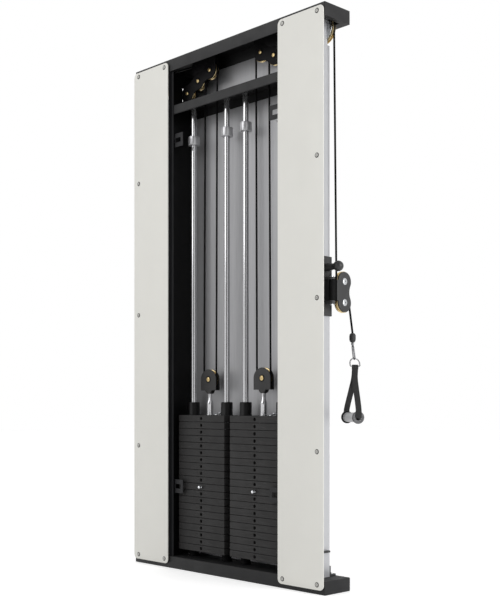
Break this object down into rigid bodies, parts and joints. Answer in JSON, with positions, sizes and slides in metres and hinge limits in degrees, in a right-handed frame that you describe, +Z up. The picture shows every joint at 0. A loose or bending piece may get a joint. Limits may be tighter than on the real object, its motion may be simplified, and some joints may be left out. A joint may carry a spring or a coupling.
{
  "type": "wall pulley weight stack",
  "caption": "Wall-mounted double cable pulley: two pin-selected weight stacks in a tall narrow cabinet, height-adjustable swivel pulleys at both sides and strap handles.",
  "frame": {"origin": "middle of the bottom beam's underside, on the floor", "axes": "+X to the right seen from the front, +Y towards the wall behind, +Z up"},
  "size_m": [1.2162, 0.2458, 2.2],
  "materials": {
    "beam": "satin anthracite powder coat",
    "sheet": "satin grey sheet steel",
    "panel": "matt warm white",
    "plate": "satin dark grey",
    "chrome": "polished chrome",
    "bracket": "satin black",
    "brass": "turned brass",
    "column": "anodised silver",
    "knob": "glossy black",
    "cable": "black coated steel cable",
    "webbing": "woven black webbing"
  },
  "bodies": {
    "frame": {"bottom_beam": "beam", "top_beam": "beam", "cross_beam": "beam", "housing": "sheet", "left_front_panel": "panel", "left_guide_rod_inner": "chrome", "left_guide_rod_outer": "chrome", "left_resting_plates": "plate", "left_column": "column", "left_upper_cable": "cable", "left_back_cable": "cable", "left_lift_cable": "cable", "left_column_cable": "cable", "left_lower_cable": "cable", "right_front_panel": "panel", "right_guide_rod_inner": "chrome", "right_guide_rod_outer": "chrome", "right_resting_plates": "plate", "right_column": "column", "right_upper_cable": "cable", "right_back_cable": "cable", "right_lift_cable": "cable", "right_column_cable": "cable", "right_lower_cable": "cable"},
    "left_stack": {"left_lifted_plates": "plate", "left_moving_block": "bracket"},
    "left_moving_wheel": {"left_moving_wheel": "brass"},
    "left_selector_pin": {"left_selector_pin": "chrome"},
    "left_top_wheel_inner": {"left_top_wheel_inner": "brass"},
    "left_top_wheel_middle": {"left_top_wheel_middle": "brass"},
    "left_top_wheel_outer": {"left_top_wheel_outer": "brass"},
    "left_head_wheel": {"left_head_wheel": "brass"},
    "left_foot_wheel": {"left_foot_wheel": "brass"},
    "left_carriage": {"left_carriage_sleeve": "bracket"},
    "left_clamp_knob": {"left_clamp_knob": "knob"},
    "left_swivel": {"left_swivel_block": "bracket", "left_end_cable": "cable"},
    "left_block_wheel_upper": {"left_block_wheel_upper": "brass"},
    "left_block_wheel_lower": {"left_block_wheel_lower": "brass"},
    "left_handle": {"left_snap_hook": "chrome", "left_handle_strap": "webbing"},
    "left_grip": {"left_grip": "column"},
    "right_stack": {"right_lifted_plates": "plate", "right_moving_block": "bracket"},
    "right_moving_wheel": {"right_moving_wheel": "brass"},
    "right_selector_pin": {"right_selector_pin": "chrome"},
    "right_top_wheel_inner": {"right_top_wheel_inner": "brass"},
    "right_top_wheel_middle": {"right_top_wheel_middle": "brass"},
    "right_top_wheel_outer": {"right_top_wheel_outer": "brass"},
    "right_head_wheel": {"right_head_wheel": "brass"},
    "right_foot_wheel": {"right_foot_wheel": "brass"},
    "right_carriage": {"right_carriage_sleeve": "bracket"},
    "right_clamp_knob": {"right_clamp_knob": "knob"},
    "right_swivel": {"right_swivel_block": "bracket", "right_end_cable": "cable"},
    "right_block_wheel_upper": {"right_block_wheel_upper": "brass"},
    "right_block_wheel_lower": {"right_block_wheel_lower": "brass"},
    "right_handle": {"right_snap_hook": "chrome", "right_handle_strap": "webbing"},
    "right_grip": {"right_grip": "column"}
  },
  "joints": [
    {"name": "left_stack_lift", "type": "slide", "parent": "frame", "child": "left_stack", "axis": [0, 0, 1], "range_m": [0, 1.11], "deforming": ["left_lift_cable"]},
    {"name": "left_moving_wheel_spin", "type": "hinge", "parent": "left_stack", "child": "left_moving_wheel", "pos_m": [-0.162, 0.014, 0.8135], "axis": [0, 1, 0], "continuous": true},
    {"name": "left_selector_pin_pull", "type": "slide", "parent": "left_stack", "child": "left_selector_pin", "axis": [0, -1, 0], "range_m": [0, 0.075]},
    {"name": "left_top_wheel_inner_spin", "type": "hinge", "parent": "frame", "child": "left_top_wheel_inner", "pos_m": [-0.154, 0.014, 2.131], "axis": [0, 1, 0], "continuous": true},
    {"name": "left_top_wheel_middle_spin", "type": "hinge", "parent": "frame", "child": "left_top_wheel_middle", "pos_m": [-0.229, 0.014, 2.10014], "axis": [0, 1, 0], "continuous": true},
    {"name": "left_top_wheel_outer_spin", "type": "hinge", "parent": "frame", "child": "left_top_wheel_outer", "pos_m": [-0.3, 0.014, 2.06095], "axis": [0, 1, 0], "continuous": true},
    {"name": "left_head_wheel_spin", "type": "hinge", "parent": "frame", "child": "left_head_wheel", "pos_m": [-0.484, 0.018, 2.134], "axis": [0, 1, 0], "continuous": true},
    {"name": "left_foot_wheel_spin", "type": "hinge", "parent": "frame", "child": "left_foot_wheel", "pos_m": [-0.386, 0.014, 0.12], "axis": [0, 1, 0], "continuous": true},
    {"name": "left_carriage_slide", "type": "slide", "parent": "frame", "child": "left_carriage", "axis": [0, 0, 1], "range_m": [-0.57, 0.7], "deforming": ["left_column_cable", "left_lower_cable"]},
    {"name": "left_clamp_knob_turn", "type": "hinge", "parent": "left_carriage", "child": "left_clamp_knob", "pos_m": [-0.576, -0.005, 1.225], "axis": [1, 0, 0], "range_deg": [-180, 180]},
    {"name": "left_block_swivel", "type": "hinge", "parent": "left_carriage", "child": "left_swivel", "pos_m": [-0.543, -0.005, 1.134], "axis": [0, 0, 1], "range_deg": [-15, 120]},
    {"name": "left_block_wheel_upper_spin", "type": "hinge", "parent": "left_swivel", "child": "left_block_wheel_upper", "pos_m": [-0.543, 0.058, 1.174], "axis": [1, 0, 0], "continuous": true},
    {"name": "left_block_wheel_lower_spin", "type": "hinge", "parent": "left_swivel", "child": "left_block_wheel_lower", "pos_m": [-0.543, 0.058, 1.094], "axis": [1, 0, 0], "continuous": true},
    {"name": "left_handle_swing", "type": "hinge", "parent": "left_swivel", "child": "left_handle", "pos_m": [-0.543, 0.116, 0.939], "axis": [1, 0, 0], "range_deg": [0, 70]},
    {"name": "left_grip_spin", "type": "hinge", "parent": "left_handle", "child": "left_grip", "pos_m": [-0.543, 0.116, 0.658], "axis": [0.8829, 0.4695, 0], "continuous": true},
    {"name": "right_stack_lift", "type": "slide", "parent": "frame", "child": "right_stack", "axis": [0, 0, 1], "range_m": [0, 1.11], "deforming": ["right_lift_cable"]},
    {"name": "right_moving_wheel_spin", "type": "hinge", "parent": "right_stack", "child": "right_moving_wheel", "pos_m": [0.162, 0.014, 0.8135], "axis": [0, 1, 0], "continuous": true},
    {"name": "right_selector_pin_pull", "type": "slide", "parent": "right_stack", "child": "right_selector_pin", "axis": [0, -1, 0], "range_m": [0, 0.075]},
    {"name": "right_top_wheel_inner_spin", "type": "hinge", "parent": "frame", "child": "right_top_wheel_inner", "pos_m": [0.154, 0.014, 2.131], "axis": [0, 1, 0], "continuous": true},
    {"name": "right_top_wheel_middle_spin", "type": "hinge", "parent": "frame", "child": "right_top_wheel_middle", "pos_m": [0.229, 0.014, 2.10014], "axis": [0, 1, 0], "continuous": true},
    {"name": "right_top_wheel_outer_spin", "type": "hinge", "parent": "frame", "child": "right_top_wheel_outer", "pos_m": [0.3, 0.014, 2.06095], "axis": [0, 1, 0], "continuous": true},
    {"name": "right_head_wheel_spin", "type": "hinge", "parent": "frame", "child": "right_head_wheel", "pos_m": [0.484, 0.018, 2.134], "axis": [0, 1, 0], "continuous": true},
    {"name": "right_foot_wheel_spin", "type": "hinge", "parent": "frame", "child": "right_foot_wheel", "pos_m": [0.386, 0.014, 0.12], "axis": [0, 1, 0], "continuous": true},
    {"name": "right_carriage_slide", "type": "slide", "parent": "frame", "child": "right_carriage", "axis": [0, 0, 1], "range_m": [-0.57, 0.7], "deforming": ["right_column_cable", "right_lower_cable"]},
    {"name": "right_clamp_knob_turn", "type": "hinge", "parent": "right_carriage", "child": "right_clamp_knob", "pos_m": [0.576, -0.005, 1.225], "axis": [1, 0, 0], "range_deg": [-180, 180]},
    {"name": "right_block_swivel", "type": "hinge", "parent": "right_carriage", "child": "right_swivel", "pos_m": [0.543, -0.005, 1.134], "axis": [0, 0, 1], "range_deg": [-120, 15]},
    {"name": "right_block_wheel_upper_spin", "type": "hinge", "parent": "right_swivel", "child": "right_block_wheel_upper", "pos_m": [0.543, 0.058, 1.174], "axis": [1, 0, 0], "continuous": true},
    {"name": "right_block_wheel_lower_spin", "type": "hinge", "parent": "right_swivel", "child": "right_block_wheel_lower", "pos_m": [0.543, 0.058, 1.094], "axis": [1, 0, 0], "continuous": true},
    {"name": "right_handle_swing", "type": "hinge", "parent": "right_swivel", "child": "right_handle", "pos_m": [0.543, 0.116, 0.939], "axis": [1, 0, 0], "range_deg": [0, 70]},
    {"name": "right_grip_spin", "type": "hinge", "parent": "right_handle", "child": "right_grip", "pos_m": [0.543, 0.116, 0.658], "axis": [0.8829, -0.4695, 0], "continuous": true}
  ],
  "couplings": [
    {"joint": "left_moving_wheel_spin", "follows": "left_stack_lift", "rad_per_m": 25.641},
    {"joint": "left_top_wheel_inner_spin", "follows": "left_stack_lift", "rad_per_m": -55.556},
    {"joint": "left_head_wheel_spin", "follows": "left_stack_lift", "rad_per_m": -39.216},
    {"joint": "left_block_wheel_upper_spin", "follows": "left_stack_lift", "rad_per_m": 55.556},
    {"joint": "left_block_wheel_lower_spin", "follows": "left_stack_lift", "rad_per_m": -55.556},
    {"joint": "left_top_wheel_middle_spin", "follows": "left_carriage_slide", "rad_per_m": 27.778},
    {"joint": "left_top_wheel_outer_spin", "follows": "left_carriage_slide", "rad_per_m": 27.778},
    {"joint": "left_foot_wheel_spin", "follows": "left_carriage_slide", "rad_per_m": -20},
    {"joint": "right_moving_wheel_spin", "follows": "right_stack_lift", "rad_per_m": -25.641},
    {"joint": "right_top_wheel_inner_spin", "follows": "right_stack_lift", "rad_per_m": 55.556},
    {"joint": "right_head_wheel_spin", "follows": "right_stack_lift", "rad_per_m": 39.216},
    {"joint": "right_block_wheel_upper_spin", "follows": "right_stack_lift", "rad_per_m": 55.556},
    {"joint": "right_block_wheel_lower_spin", "follows": "right_stack_lift", "rad_per_m": -55.556},
    {"joint": "right_top_wheel_middle_spin", "follows": "right_carriage_slide", "rad_per_m": -27.778},
    {"joint": "right_top_wheel_outer_spin", "follows": "right_carriage_slide", "rad_per_m": -27.778},
    {"joint": "right_foot_wheel_spin", "follows": "right_carriage_slide", "rad_per_m": 20}
  ]
}
